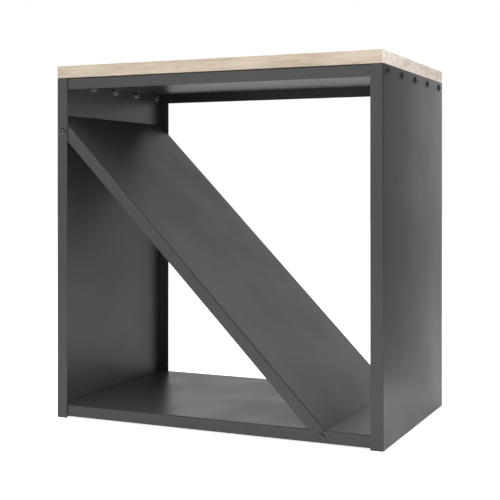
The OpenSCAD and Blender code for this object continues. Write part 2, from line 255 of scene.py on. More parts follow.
class StageSettings(bpy.types.PropertyGroup):
    """Floor, light and camera"""

    floor_size: FloatProperty(
        name="Floor size",
        description="Length of the floor's sides",
        default=24.0, min=4.0, max=60.0, unit="LENGTH",
    )
    floor_colour: FloatVectorProperty(
        name="Floor",
        description="Colour of the pale floor",
        default=(0.86, 0.86, 0.86), size=3, min=0.0, max=1.0, subtype="COLOR",
    )
    floor_whiteness: FloatProperty(
        name="Floor whiteness",
        description="How much whiter the floor looks to the camera than it lights the room",
        default=0.8, min=0.0, max=1.0, subtype="FACTOR",
    )
    floor_lift: FloatProperty(
        name="Floor lift",
        description="How much whiter the floor looks in a reflection than it lights the room",
        default=0.2, min=0.0, max=1.0, subtype="FACTOR",
    )
    room_light: FloatProperty(
        name="Room light",
        description="Strength of the even light of the room",
        default=0.5, min=0.0, max=2.0,
    )
    mirrored_light: FloatProperty(
        name="Mirrored light",
        description="Strength of the room where it is seen in a reflection",
        default=0.93, min=0.0, max=2.0,
    )
    key_power: FloatProperty(
        name="Key light",
        description="Power of the soft light at the front left",
        default=10.0, min=0.0, max=1000.0, unit="POWER",
    )
    key_place: FloatVectorProperty(
        name="Key place",
        description="Where the soft light at the front left hangs",
        default=(-0.9, -2.3, 1.8), size=3, subtype="XYZ", unit="LENGTH",
    )
    top_power: FloatProperty(
        name="Top light",
        description="Power of the soft light overhead, most of which falls on the floor",
        default=80.0, min=0.0, max=1000.0, unit="POWER",
    )
    side_power: FloatProperty(
        name="Side light",
        description="Power of the soft light at the front right",
        default=44.0, min=0.0, max=1000.0, unit="POWER",
    )
    bounce_power: FloatProperty(
        name="Low light",
        description="Power of the low light in front, which the floor would throw on the posts' feet",
        default=1.0, min=0.0, max=100.0, unit="POWER",
    )
    flag_near: FloatVectorProperty(
        name="Flag's near edge",
        description="Where the dark board that the right side mirrors begins",
        default=(0.53, 0.40), size=2, subtype="XYZ", unit="LENGTH",
    )
    flag_bend: FloatVectorProperty(
        name="Flag's bend",
        description="Where the dark board that the right side mirrors turns to the front",
        default=(2.2, 1.2), size=2, subtype="XYZ", unit="LENGTH",
    )
    flag_far: FloatVectorProperty(
        name="Flag's far corner",
        description="Where the dark board that the right side mirrors turns back to the middle",
        default=(2.8, -1.0), size=2, subtype="XYZ", unit="LENGTH",
    )
    flag_end: FloatVectorProperty(
        name="Flag's end",
        description="Where the dark board that the bolts' heads mirror ends, at the front right",
        default=(1.9, -3.2), size=2, subtype="XYZ", unit="LENGTH",
    )
    ceiling_light: FloatProperty(
        name="Ceiling light",
        description="Strength of the ceiling where it is seen in a reflection",
        default=0.2, min=0.0, max=2.0,
    )
    flag_height: FloatProperty(
        name="Flag's height",
        description="Height of the dark board that the right side mirrors",
        default=2.0, min=0.5, max=4.0, unit="LENGTH",
    )
    camera_place: FloatVectorProperty(
        name="Camera place",
        description="Where the camera stands",
        default=(1.0384, -2.3471, 0.5549), size=3, subtype="XYZ", unit="LENGTH",
    )
    camera_heading: FloatProperty(
        name="Camera heading",
        description="How far the camera is turned to the left of straight on",
        default=math.radians(24.12), unit="ROTATION", subtype="ANGLE",
    )
    camera_lens: FloatProperty(
        name="Lens",
        description="Focal length on a 36 mm sensor, in millimetres",
        default=76.22, min=20.0, max=200.0,
    )
    camera_side: FloatProperty(
        name="Sideways shift",
        description="Shift of the frame to the right",
        default=0.0004, min=-0.5, max=0.5, precision=4,
    )
    camera_rise: FloatProperty(
        name="Lens shift",
        description="Upward shift of the frame, which keeps the posts upright",
        default=-0.136, min=-0.5, max=0.5,
    )


# Shapes


def solids_of(node):
    """Lowest and highest corners of each separate solid in a node of the frame"""
    bm = bmesh.new()
    bm.from_mesh(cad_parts[node].data)
    bmesh.ops.remove_doubles(bm, verts=bm.verts, dist=MERGE)
    unseen = set(bm.verts)
    boxes = []
    for start in bm.verts:
        if start not in unseen:
            continue
        unseen.discard(start)
        group = [start]
        for vert in group:
            for edge in vert.link_edges:
                other = edge.other_vert(vert)
                if other in unseen:
                    unseen.discard(other)
                    group.append(other)
        columns = list(zip(*(vert.co for vert in group)))
        boxes.append((Vector(map(min, columns)), Vector(map(max, columns))))
    bm.free()
    return sorted(boxes, key=lambda box: tuple(round(c, 5) for c in box[0]))


def placed(name, data):
    """A new object in the scene"""
    made = bpy.data.objects.new(name, data)
    bpy.context.scene.collection.objects.link(made)
    return made


def meshed(name, bm, material):
    """Turns a bmesh into an object with a material"""
    mesh = bpy.data.meshes.new(name)
    bm.to_mesh(mesh)
    bm.free()
    mesh.materials.append(material)
    return placed(name, mesh)


def add_piece(name, bm, material, stands_for=()):
    """Turns a bmesh into a piece that rides on the frame and stands for the nodes named"""
    piece = meshed(name, bm, material)
    piece.data.shade_smooth()
    piece.data.set_sharp_from_angle(angle=SHARP_ANGLE)
    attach(piece, BODY)
    if stands_for:
        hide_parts(*stands_for)
    return piece


def keep_faces_flat(piece):
    """Keeps the shading of large faces flat up to their rounded edges"""
    piece.modifiers.new("flat_faces", "WEIGHTED_NORMAL").keep_sharp = True


def merged_copy(node):
    """A copy of a node's mesh, its loose triangles merged into plain faces"""
    bm = bmesh.new()
    bm.from_mesh(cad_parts[node].data)
    bmesh.ops.remove_doubles(bm, verts=bm.verts, dist=MERGE)
    bmesh.ops.dissolve_limit(
        bm, angle_limit=math.radians(0.6), use_dissolve_boundaries=False,
        verts=bm.verts, edges=bm.edges,
    )
    return bm


def round_edges(bm, edges, radius, segments):
    """Rounds edges with a bevel"""
    bmesh.ops.bevel(
        bm, geom=edges, offset=radius, offset_type="OFFSET", segments=segments,
        profile=0.5, affect="EDGES", clamp_overlap=True, material=-1,
    )


def ease_edges(bm, radius, segments=2):
    """Rounds every sharp edge"""
    sharp = [
        edge for edge in bm.edges if edge.is_manifold and edge.calc_face_angle() > EASED_ANGLE
    ]
    round_edges(bm, sharp, radius, segments)


def add_block(bm, low, high):
    """Adds a box between two corners"""
    verts = bmesh.ops.create_cube(bm, size=1.0)["verts"]
    bmesh.ops.scale(bm, vec=high - low, verts=verts)
    bmesh.ops.translate(bm, vec=(low + high) / 2, verts=verts)


def hexagon(across, limit=math.inf):
    """Outline of a hexagon with this width across its flats, held within a radius"""
    def reach(angle):
        from_flat = (angle + math.pi / 6) % (math.pi / 3) - math.pi / 6
        return min(limit, across / 2 / math.cos(from_flat))
    return reach


def cross(arm, half_width):
    """Outline of a cross recess"""
    def reach(angle):
        thin = 1e-6
        across = half_width / max(abs(math.sin(angle)), thin)
        along = half_width / max(abs(math.cos(angle)), thin)
        return min(arm, max(across, along))
    return reach


def turned(rings, segments=48):
    """Draws a closed skin through rings along z, each given as its radius or outline and its
    height. The rings start and end at a point on the axis, or they end where they started."""
    bm = bmesh.new()
    bmesh.ops.create_circle(bm, cap_ends=False, segments=segments, radius=1.0)
    loop = list(bm.edges)
    for _ in rings[1:]:
        made = bmesh.ops.extrude_edge_only(bm, edges=loop)["geom"]
        fresh = {item for item in made if isinstance(item, bmesh.types.BMVert)}
        loop = [
            item for item in made
            if isinstance(item, bmesh.types.BMEdge) and all(v in fresh for v in item.verts)
        ]
        bmesh.ops.translate(bm, vec=(0, 0, 1), verts=list(fresh))
    for vert in bm.verts:
        outline, height = rings[round(vert.co.z)]
        angle = math.atan2(vert.co.y, vert.co.x)
        reach = outline(angle) if callable(outline) else outline
        vert.co = (reach * math.cos(angle), reach * math.sin(angle), height)
    bmesh.ops.remove_doubles(bm, verts=bm.verts, dist=MERGE)
    bmesh.ops.recalc_face_normals(bm, faces=bm.faces)
    return bm


def threaded(radius, pitch, bottom, top, steps=24):
    """A threaded rod along z: a zigzag spun one turn while it climbs one pitch, with its
    ends trimmed flat and its lower end tapered"""
    root = radius - 0.6 * pitch
    # Crest, end of the crest's flat and root of one thread, in shares of the pitch
    tooth = ((0.0, radius), (0.15, radius), (0.57, root))
    start = bottom - 1.2 * pitch
    teeth = math.ceil((top - start) / pitch) + 1
    bm = bmesh.new()
    chain = [
        bm.verts.new((reach, 0, start + (turn + share) * pitch))
        for turn in range(teeth)
        for share, reach in tooth
    ]
    edges = [bm.edges.new(pair) for pair in zip(chain, chain[1:])]
    bmesh.ops.spin(
        bm, geom=chain + edges, cent=(0, 0, 0), axis=(0, 0, 1), dvec=(0, 0, pitch / steps),
        angle=math.tau, steps=steps, use_merge=False, use_duplicate=False,
    )
    bmesh.ops.remove_doubles(bm, verts=bm.verts, dist=5 * MERGE)
    for height, up in ((top, 1), (bottom, -1)):
        bmesh.ops.bisect_plane(
            bm, geom=bm.verts[:] + bm.edges[:] + bm.faces[:], dist=MERGE,
            plane_co=(0, 0, height), plane_no=(0, 0, up), clear_outer=True,
        )
        bmesh.ops.holes_fill(bm, edges=[edge for edge in bm.edges if edge.is_boundary])
    for vert in bm.verts:
        reach = math.hypot(vert.co.x, vert.co.y)
        limit = 0.96 * root + (vert.co.z - bottom)
        if reach > limit:
            vert.co.x *= limit / reach
            vert.co.y *= limit / reach
    bmesh.ops.recalc_face_normals(bm, faces=bm.faces)
    return bm


def join(first, second):
    """Adds the second bmesh to the first, and frees it"""
    spare = bpy.data.meshes.new("spare")
    second.to_mesh(spare)
    second.free()
    first.from_mesh(spare)
    bpy.data.meshes.remove(spare)
    return first


def stand_fasteners(name, out, make, slot, settings, turns):
    """Makes one fastener as long and as wide as a node's solids, and stands a copy of it at the
    outer end of each of them, its z pointing out and turned about it at random"""
    boxes = solids_of(name)
    low, high = boxes[0]
    length = abs((high - low).dot(out))
    width = min(size for size, share in zip(high - low, out) if abs(share) < 0.5)
    shape = make(length, width, settings)
    template = bpy.data.meshes.new("template")
    shape.to_mesh(template)
    shape.free()
    upright = out.to_track_quat("Z", "Y").to_matrix().to_4x4()
    standing = bmesh.new()
    for low, high in boxes:
        before = len(standing.verts)
        standing.from_mesh(template)
        standing.verts.ensure_lookup_table()
        end = (low + high) / 2 + out * abs((high - low).dot(out)) / 2
        turn = Matrix.Rotation(turns.uniform(0, math.tau), 4, "Z")
        bmesh.ops.transform(
            standing, matrix=Matrix.Translation(end) @ upright @ turn,
            verts=standing.verts[before:],
        )
    bpy.data.meshes.remove(template)
    finish = {BOLT: dark_coating, ZINC: zinc_plating}[slot]
    add_piece(f"{name}_turned", standing, material_once(finish, settings), [name])


def button_bolt(length, head_width, sizes):
    """A flat button head bolt whose head's top is at z = 0"""
    head_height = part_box("right_top_bolts")[1].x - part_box("right_side_panel")[1].x
    rim_r = head_width / 2
    flat_r = sizes.head_flat / 2
    rim = sizes.head_rim
    centre = (head_height ** 2 - rim ** 2 + flat_r ** 2 - rim_r ** 2) / (2 * (head_height - rim))
    dome_r = math.hypot(rim_r, rim - centre)
    first = math.atan2(head_height - centre, flat_r)
    last = math.atan2(rim - centre, rim_r)
    steps = 8
    edge = 0.15 * MM
    drill_point = 0.5 * MM
    mouth_depth = 0.3 * MM
    socket = sizes.socket_across
    mouth_r = socket / 2 / math.cos(math.pi / 6) + 0.1 * MM
    rings = [
        (0, -sizes.socket_depth - drill_point),
        (hexagon(socket), -sizes.socket_depth),
        (hexagon(socket), -mouth_depth),
        (mouth_r, 0),
        (flat_r - edge, 0),
    ]
    for step in range(steps + 1):
        angle = first + (last - first) * step / steps
        height = centre + dome_r * math.sin(angle) - head_height
        rings.append((dome_r * math.cos(angle), height))
    rings += [
        (rim_r, edge - head_height),
        (rim_r - edge, -head_height),
        (0, -head_height),
    ]
    rod = threaded(sizes.thread_size / 2, sizes.thread_pitch, -length, -head_height)
    return join(turned(rings), rod)


def hexagon_nut(height, across, sizes):
    """A nut with chamfered corners that hangs down from z = 0"""
    bore = sizes.thread_size / 2 + sizes.thread_gap
    flat_r = across / 2
    corner = flat_r / math.cos(math.pi / 6)
    bevel = (corner - flat_r) * math.tan(math.pi / 6)
    face_r = flat_r - 0.3 * MM
    sink = 0.5 * MM
    steps = 4
    upper = []
    for step in range(steps + 1):
        limit = flat_r + (corner - flat_r) * step / steps
        upper.append((hexagon(across, limit), -bevel * step / steps))
    lower = [(outline, -height - depth) for outline, depth in reversed(upper)]
    rings = [
        (bore, -sink),
        (bore + sink, 0),
        (face_r, 0),
        *upper,
        *lower,
        (face_r, -height),
        (bore + sink, -height),
        (bore, sink - height),
        (bore, -sink),
    ]
    return turned(rings)


def flat_washer(thickness, width, sizes):
    """A punched washer that hangs down from z = 0, rounded on its upper edge"""
    bore = sizes.thread_size / 2 + sizes.thread_gap
    rim_r = width / 2
    edge = 0.25 * MM
    rings = [
        (bore, -edge),
        (bore + edge, 0),
        (rim_r - edge, 0),
        (rim_r - 0.3 * edge, -0.3 * edge),
        (rim_r, -edge),
        (rim_r, -thickness),
        (bore, -thickness),
        (bore, -edge),
    ]
    return turned(rings)


def weld_stud(length, flange_width, sizes):
    """A threaded stud that hangs down from the flange at its root"""
    rim_r = flange_width / 2
    edge = 0.2 * MM
    rings = [
        (0, 0),
        (rim_r, 0),
        (rim_r, edge - sizes.flange_height),
        (rim_r - edge, -sizes.flange_height),
        (0, -sizes.flange_height),
    ]
    rod = threaded(sizes.thread_size / 2, sizes.thread_pitch, -length, -sizes.flange_height)
    return join(turned(rings), rod)


def wood_screw(length, head_width, sizes):
    """A countersunk screw whose head's flat face is at z = 0, with a cross recess"""
    rim_r = head_width / 2
    shank_r = sizes.screw_size / 2
    head = rim_r - shank_r
    edge = 0.1 * MM
    # The recess narrows from its mouth to its tip, in shares of the head's width and height
    rings = [
        (0, -0.6 * head),
        (cross(0.16 * head_width, 0.05 * head_width), -0.55 * head),
        (cross(0.26 * head_width, 0.065 * head_width), -0.05 * head),
        (0.29 * head_width, 0),
        (rim_r - 2 * edge, 0),
        (rim_r - edge, -edge),
        (shank_r, -head),
        (0, -head),
    ]
    rod = threaded(shank_r, sizes.screw_pitch, -length, -head, steps=16)
    return join(turned(rings, segments=64), rod)


def weld_run(start, end, radius, ripple):
    """A run of weld in a corner: a rod that swells with each ripple and fades at its ends"""
    run = end - start
    ripples = max(3, round(run.length / ripple))
    steps = 6 * ripples
    rings = [(0, 0)]
    for step in range(1, steps):
        share = step / steps
        fade = min(1.0, 6 * math.sin(math.pi * share)) ** 0.5
        swell = 0.9 + 0.1 * abs(math.sin(math.pi * share * ripples))
        rings.append((radius * fade * swell, share * run.length))
    rings.append((0, run.length))
    bm = turned(rings, segments=12)
    turn = run.to_track_quat("Z", "Y").to_matrix().to_4x4()
    bmesh.ops.transform(bm, matrix=Matrix.Translation(start) @ turn, verts=bm.verts)
    return bm


# Materials


def set_input(tree, socket, value):
    """Links a socket to an input, or sets the input's own value"""
    if isinstance(value, bpy.types.NodeSocket):
        tree.links.new(value, socket)
    else:
        socket.default_value = value


def feed(tree, made, **inputs):
    """Sets or links a node's inputs by name, with _ for a space"""
    for key, value in inputs.items():
        set_input(tree, made.inputs[key.replace("_", " ")], value)


def node(tree, kind, settings=None, **inputs):
    """Adds a node with its settings and its inputs"""
    made = tree.nodes.new(kind)
    for key, value in (settings or {}).items():
        setattr(made, key, value)
    feed(tree, made, **inputs)
    return made


def operated(tree, kind, operation, values):
    """The outputs of a node that does one operation on its first inputs"""
    made = node(tree, kind, {"operation": operation})
    for socket, value in zip(made.inputs, values):
        set_input(tree, socket, value)
    return made.outputs


def reckon(tree, operation, *values):
    """A Math node's result"""
    return operated(tree, "ShaderNodeMath", operation, values)[0]


def aim(tree, operation, *values):
    """A Vector Math node's vector"""
    return operated(tree, "ShaderNodeVectorMath", operation, values)["Vector"]


def between(tree, value, low, high, low_to, high_to):
    """Maps a value smoothly from one range to another"""
    made = node(
        tree, "ShaderNodeMapRange", {"interpolation_type": "SMOOTHSTEP"},
        Value=value, From_Min=low, From_Max=high, To_Min=low_to, To_Max=high_to,
    )
    return made.outputs["Result"]


def mixed(tree, share, first, second, blend="MIX"):
    """Mixes two colours"""
    made = node(tree, "ShaderNodeMix", {"data_type": "RGBA", "blend_type": blend})
    # The factor and the two colours among a Mix node's inputs
    for place, value in zip((0, 6, 7), (share, first, second)):
        set_input(tree, made.inputs[place], value)
    return made.outputs[2]


def rgba(colour):
    """A colour with its alpha"""
    return (*colour, 1.0)


def noise(tree, coordinates, size, detail=2.0, stretch=(1, 1, 1)):
    """Noise whose patches are about size long, drawn out along the axes by stretch"""
    scaled = aim(tree, "MULTIPLY", coordinates, tuple(1 / (size * share) for share in stretch))
    made = node(tree, "ShaderNodeTexNoise", Vector=scaled, Scale=1.0, Detail=detail)
    return made.outputs["Fac"]


def empty_tree(block):
    """The cleared node tree of a material or a world"""
    block.use_nodes = True
    block.node_tree.nodes.clear()
    return block.node_tree


def new_material(name):
    """An empty material with its tree, its shader and the object's coordinates"""
    material = bpy.data.materials.new(name)
    tree = empty_tree(material)
    shader = node(tree, "ShaderNodeBsdfPrincipled")
    node(tree, "ShaderNodeOutputMaterial", Surface=shader.outputs["BSDF"])
    coordinates = node(tree, "ShaderNodeTexCoord").outputs["Object"]
    return material, tree, shader, coordinates


def bumped(tree, shader, height, depth):
    """Raises the surface by a height of 0 to 1 times depth"""
    made = node(tree, "ShaderNodeBump", Height=height, Distance=depth, Strength=1.0)
    feed(tree, shader, Normal=made.outputs["Normal"])


def stored(tree, name, output="Fac"):
    """A value that the faces of the mesh hold"""
    return node(tree, "ShaderNodeAttribute", {"attribute_name": name}).outputs[output]


def tinted(tree, shader, colour, tone):
    """Colours the surface with one colour, which the tone makes darker or paler"""
    scale = {"operation": "SCALE"}
    made = node(tree, "ShaderNodeVectorMath", scale, Vector=tuple(colour), Scale=tone)
    feed(tree, shader, Base_Color=made.outputs["Vector"])


def powder_coat(settings):
    """Satin anthracite powder coat, with fine dimples and faint clouds"""
    material, tree, shader, place = new_material("powder_coat")
    clouds = noise(tree, place, 120 * MM, 3.0)
    grain = noise(tree, place, 6 * MM)
    uneven = reckon(tree, "MULTIPLY_ADD", grain, 0.3, clouds)
    tinted(tree, shader, settings.coat_colour, between(tree, uneven, 0.4, 0.9, 0.94, 1.06))
    satin = settings.coat_roughness
    feed(tree, shader, Roughness=between(tree, clouds, 0.3, 0.7, satin - 0.03, satin + 0.03))
    bumped(tree, shader, noise(tree, place, settings.peel_size, 1.0), settings.peel_depth)
    return material


def limed_oak(settings):
    """Pale oak, with the rings of each stave running round its own pith"""
    material, tree, shader, place = new_material("limed_oak")
    tint_and_shade = stored(tree, "stave_tint_and_shade")
    cut = stored(tree, "end_grain")
    from_pith = aim(tree, "SUBTRACT", place, stored(tree, "stave_pith", "Vector"))
    axes = node(tree, "ShaderNodeSeparateXYZ", Vector=from_pith).outputs
    across = aim(tree, "MULTIPLY", from_pith, (0, 1, 1))
    distance = operated(tree, "ShaderNodeVectorMath", "LENGTH", [across])["Value"]
    bends = noise(tree, from_pith, 90 * MM, 1.0, stretch=(7, 1, 1))
    wander = reckon(tree, "MULTIPLY", reckon(tree, "SUBTRACT", bends, 0.5), 22 * MM)
    waves = noise(tree, from_pith, 24 * MM, stretch=(4, 1, 1))
    wander = reckon(tree, "MULTIPLY_ADD", reckon(tree, "SUBTRACT", waves, 0.5), 4 * MM, wander)
    taper = reckon(tree, "MULTIPLY", axes["X"], 0.012)
    radius = reckon(tree, "ADD", reckon(tree, "ADD", distance, wander), taper)

    years = reckon(tree, "DIVIDE", radius, settings.ring_width)
    part = reckon(tree, "FRACT", years)
    year = node(tree, "ShaderNodeTexWhiteNoise", {"noise_dimensions": "1D"},
                W=reckon(tree, "FLOOR", years)).outputs["Value"]
    begin = between(tree, part, 0.0, 0.02, 0.0, 1.0)
    fade = between(tree, part, 0.02, 0.4, 1.0, 0.0)
    pore_band = reckon(tree, "MULTIPLY", fade, begin)
    rings = reckon(tree, "MULTIPLY", pore_band, between(tree, year, 0.0, 1.0, 0.25, 1.0))
    bands, spells = (
        node(tree, "ShaderNodeTexNoise", {"noise_dimensions": "1D"},
             W=reckon(tree, "DIVIDE", radius, width), Scale=1.0, Detail=1.0).outputs["Fac"]
        for width in (9 * MM, 26 * MM)
    )

    fibres = noise(tree, from_pith, 1.6 * MM, 3.0, stretch=(22, 1, 1))
    streaks = noise(tree, from_pith, 5 * MM, stretch=(16, 1, 1))
    mottle = noise(tree, from_pith, 20 * MM, stretch=(7, 2, 1))
    specks = noise(tree, from_pith, 0.6 * MM, 1.0, stretch=(16, 1, 1))
    pores = between(tree, specks, 0.60, 0.72, 0.0, 1.0)
    pores = reckon(tree, "MULTIPLY", pores, reckon(tree, "MULTIPLY_ADD", rings, 0.5, 0.25))
    turn = reckon(tree, "ARCTAN2", axes["Z"], axes["Y"])
    fan = node(tree, "ShaderNodeCombineXYZ", X=reckon(tree, "MULTIPLY", turn, 0.09),
               Y=reckon(tree, "MULTIPLY", radius, 0.08), Z=axes["X"]).outputs["Vector"]
    rays = between(tree, noise(tree, fan, 1.4 * MM, 1.0), 0.56, 0.72, 0.0, 1.0)

    dark = reckon(tree, "MULTIPLY_ADD", pores, 0.6, reckon(tree, "MULTIPLY", rings, 0.45))
    for pattern, low, high, share in (
        (bands, 0.40, 0.70, 0.40), (fibres, 0.52, 0.75, 0.35),
        (streaks, 0.48, 0.72, 0.35), (mottle, 0.40, 0.66, 0.40),
    ):
        dark = reckon(tree, "ADD", dark, between(tree, pattern, low, high, 0.0, share))
    dark = node(tree, "ShaderNodeClamp", Value=dark).outputs["Result"]

    side = mixed(tree, dark, rgba(settings.pale_colour), rgba(settings.dark_colour))
    # The end grain's pale colour carries a painted sheen besides its own tone
    end_dark = tuple(0.35 * a + 0.65 * b for a, b in zip(settings.end_colour, settings.dark_colour))
    blotches = noise(tree, place, 9 * MM, 3.0, stretch=(1, 3, 1))
    blotch = between(tree, blotches, 0.42, 0.68, 0.0, 0.42)
    spell = between(tree, spells, 0.42, 0.68, 0.0, 0.38)
    end_share = reckon(tree, "MULTIPLY_ADD", dark, 0.3, reckon(tree, "ADD", blotch, spell))
    end = mixed(tree, end_share, rgba(settings.end_colour), rgba(end_dark))
    end = mixed(tree, reckon(tree, "MULTIPLY", rays, 0.2), end, rgba(settings.end_colour))
    wood = mixed(tree, cut, side, end)

    # Painted shade: the staves darken towards the rear, fully on the end grain and half as much on
    # the long grain, on top of each stave's own tone at random
    depth = reckon(tree, "MULTIPLY", tint_and_shade, between(tree, cut, 0.0, 1.0, 0.5, 1.0))
    tone = mixed(tree, depth, (1, 1, 1, 1), rgba(settings.rear_tone))
    wood = mixed(tree, 1.0, wood, tone, blend="MULTIPLY")
    spread = settings.hue_spread
    patches = noise(tree, from_pith, 14 * MM, stretch=(4, 3, 1))
    hue = between(tree, patches, 0.35, 0.65, 0.0, 1.0)
    rosy = (1 + spread / 2, 1 - spread / 3, 1 + spread, 1)
    olive = (1 - spread / 2, 1 + spread / 3, 1 - spread, 1)
    wood = mixed(tree, 1.0, wood, mixed(tree, hue, rosy, olive), blend="MULTIPLY")
    feed(tree, shader, Base_Color=wood, Roughness=between(tree, dark, 0.0, 1.0, 0.52, 0.68))
    relief = reckon(tree, "MULTIPLY_ADD", fibres, -0.6, reckon(tree, "MULTIPLY", rings, -0.5))
    bumped(tree, shader, relief, 0.12 * MM)
    return material


def dark_coating(settings):
    """Dark coat of the bolts and screws, a little glossier than the sheets'"""
    material, tree, shader, place = new_material("dark_coating")
    clouds = noise(tree, place, 3 * MM)
    tinted(tree, shader, settings.bolt_colour, between(tree, clouds, 0.3, 0.7, 0.9, 1.1))
    rough = between(tree, clouds, 0.3, 0.7, 0.20, 0.24)
    feed(tree, shader, Roughness=rough, Specular_IOR_Level=1.0)
    bumped(tree, shader, noise(tree, place, 0.8 * MM, 1.0), 0.005 * MM)
    return material


def zinc_plating(settings):
    """Bright zinc plating, with faint clouds and fine scratches"""
    material, tree, shader, place = new_material("zinc_plating")
    clouds = noise(tree, place, 5 * MM, 3.0)
    scratches = noise(tree, place, 0.6 * MM, stretch=(1, 6, 1))
    bluish = tuple(c * s for c, s in zip(settings.zinc_colour, (0.86, 0.9, 0.97)))
    plating = mixed(tree, clouds, rgba(settings.zinc_colour), rgba(bluish))
    rough = between(tree, scratches, 0.3, 0.7, 0.28, 0.42)
    feed(tree, shader, Base_Color=plating, Metallic=1.0, Roughness=rough)
    bumped(tree, shader, scratches, 0.01 * MM)
    return material


def material_once(make, settings):
    """The material that a function makes, made the first time that it is asked for"""
    return bpy.data.materials.get(make.__name__) or make(settings)


# Operators


class LOGHOLDER_OT_steel_sheets(bpy.types.Operator):
    """Ease the cut edges of the folded sheets and coat them"""

    bl_idname = "log_holder.steel_sheets"
    bl_label = "Folded sheets"

    def execute(self, context):
        settings = context.scene.log_holder_steel
        coat = material_once(powder_coat, settings)
        for name in FOLDED_SHEETS:
            bm = merged_copy(name)
            ease_edges(bm, settings.edge_radius)
            keep_faces_flat(add_piece(f"{name}_coated", bm, coat, [name]))
        return {"FINISHED"}


class LOGHOLDER_OT_foot_tabs(bpy.types.Operator):
    """Coat the divider's foot tabs and lay the welds that hold them"""

    bl_idname = "log_holder.foot_tabs"
    bl_label = "Foot tabs and welds"

    def execute(self, context):
        settings = context.scene.log_holder_steel
        coat = material_once(powder_coat, settings)
        bm = merged_copy("divider_foot_tabs")
        seams = self.weld_seams(bm)
        ease_edges(bm, settings.edge_radius)
        add_piece("divider_foot_tabs_coated", bm, coat, ["divider_foot_tabs"])
        if len(seams) < 2:
            raise RuntimeError("the foot tabs have no edges to weld")
        welds = bmesh.new()
        for start, end in seams:
            join(welds, weld_run(start, end, settings.weld_radius, settings.weld_ripple))
        add_piece("foot_tab_welds", welds, coat)
        add_piece("divider_foot_welds", self.ground_welds(settings), coat)
        return {"FINISHED"}

    @staticmethod
    def weld_seams(bm):
        """The tabs' free edges above the bottom tray, where they lie against the divider's lips"""
        tray_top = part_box("bottom_tray")[1].z
        outer = max(vert.co.y for vert in bm.verts)
        shortest = 8 * MM
        seams = []
        for edge in bm.edges:
            start, end = (vert.co.copy() for vert in edge.verts)
            on_lip = all(abs(abs(point.y) - outer) < MERGE for point in (start, end))
            above_tray = (start.z + end.z) / 2 > tray_top
            faces_right = any(face.normal.x > 0.3 for face in edge.link_faces)
            if on_lip and above_tray and edge.calc_length() > shortest and not faces_right:
                seams.append((start, end))
        return sorted(seams, key=lambda seam: tuple(round(c, 5) for c in seam[0] + seam[1]))

    @staticmethod
    def ground_welds(settings):
        """Welds ground flush, which close the groove between the divider's lips and the rails"""
        overlap = 0.6 * MM
        proud = 0.02 * MM
        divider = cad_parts["diagonal_divider"].data.vertices
        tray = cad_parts["bottom_tray"].data.vertices
        tray_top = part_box("bottom_tray")[1].z
        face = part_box("diagonal_divider")[1].y
        lip = [
            vert.co for vert in divider
            if vert.co.z < tray_top + overlap and vert.co.y > face - MERGE
        ]
        rail_top = max(vert.co.z for vert in tray if vert.co.y > face - MERGE)
        low = Vector((min(co.x for co in lip), face - settings.weld_radius, rail_top - overlap))
        high = Vector((max(co.x for co in lip), face + proud, min(co.z for co in lip) + overlap))
        bm = bmesh.new()
        add_block(bm, Vector((low.x, -high.y, low.z)), Vector((high.x, -low.y, high.z)))
        add_block(bm, low, high)
        upright = high.z - low.z + MERGE
        ends = [
            edge for edge in bm.edges
            if edge.calc_length() < upright and all(abs(vert.co.y) > face for vert in edge.verts)
        ]
        round_edges(bm, ends, 0.9 * settings.weld_radius, segments=4)
        return bm


class LOGHOLDER_OT_oak_board(bpy.types.Operator):
    """Glue up the oak board from its staves"""

    bl_idname = "log_holder.oak_board"
    bl_label = "Oak board"

    def execute(self, context):
        settings = context.scene.log_holder_oak
        low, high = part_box("top_board")
        chance = random.Random(settings.seed)
        width = (high.y - low.y) / settings.staves
        joints = [
            low.y + width * place + chance.uniform(-1, 1) * settings.stave_spread
            for place in range(1, settings.staves)
        ]
        bm = bmesh.new()
        add_block(bm, low, high)
        uprights = [
            edge for edge in bm.edges if abs(edge.verts[0].co.z - edge.verts[1].co.z) > MERGE
        ]
        round_edges(bm, uprights, settings.corner_radius, segments=8)
        ease_edges(bm, settings.edge_radius, segments=3)
        for joint in joints:
            bmesh.ops.bisect_plane(
                bm, geom=bm.verts[:] + bm.edges[:] + bm.faces[:], dist=MERGE,
                plane_co=(0, joint, 0), plane_no=(0, 1, 0),
            )
        wood = material_once(limed_oak, settings)
        board = add_piece("oak_board_staves", bm, wood, ["top_board"])
        keep_faces_flat(board)
        self.mark_staves(board.data, [low.y, *joints, high.y], low.z, chance)
        return {"FINISHED"}

    @staticmethod
    def mark_staves(mesh, edges, underside, chance):
        """Gives each face the place of its stave's pith, the stave's tint with its painted shade, and
        how far it is cut across the grain"""
        staves = []
        for start, end in zip(edges, edges[1:]):
            pith = Vector((
                chance.uniform(-3, 3),
                (start + end) / 2 + chance.uniform(-40 * MM, 40 * MM),
                underside + chance.choice((-1, 1)) * chance.uniform(30 * MM, 120 * MM),
            ))
            # The front stave's pith lies at its rear edge, so that its front shows long figure
            if not staves:
                pith.y = end
                pith.z = underside + 16 * MM
            # The staves grow darker to the rear, which is painted shade, and partly by chance, which
            # is the wood's own tone
            to_rear = (start - edges[0]) / (edges[-2] - edges[0])
            staves.append((end, pith, 0.7 * to_rear + 0.3 * chance.random()))
        kinds = {"stave_pith": "FLOAT_VECTOR", "stave_tint_and_shade": "FLOAT", "end_grain": "FLOAT"}
        for name, kind in kinds.items():
            mesh.attributes.new(name, kind, "FACE")
        piths, tints_and_shades, ends = (mesh.attributes[name].data for name in kinds)
        for face in mesh.polygons:
            end, pith, tint_and_shade = next(
                stave for stave in staves if face.center.y < stave[0] or stave is staves[-1]
            )
            piths[face.index].vector = pith
            tints_and_shades[face.index].value = tint_and_shade
            # Round a corner, long grain turns into end grain between these slants
            first, last = 0.6, 0.95
            slant = (abs(face.normal.x) - first) / (last - first)
            ends[face.index].value = min(1.0, max(0.0, slant))


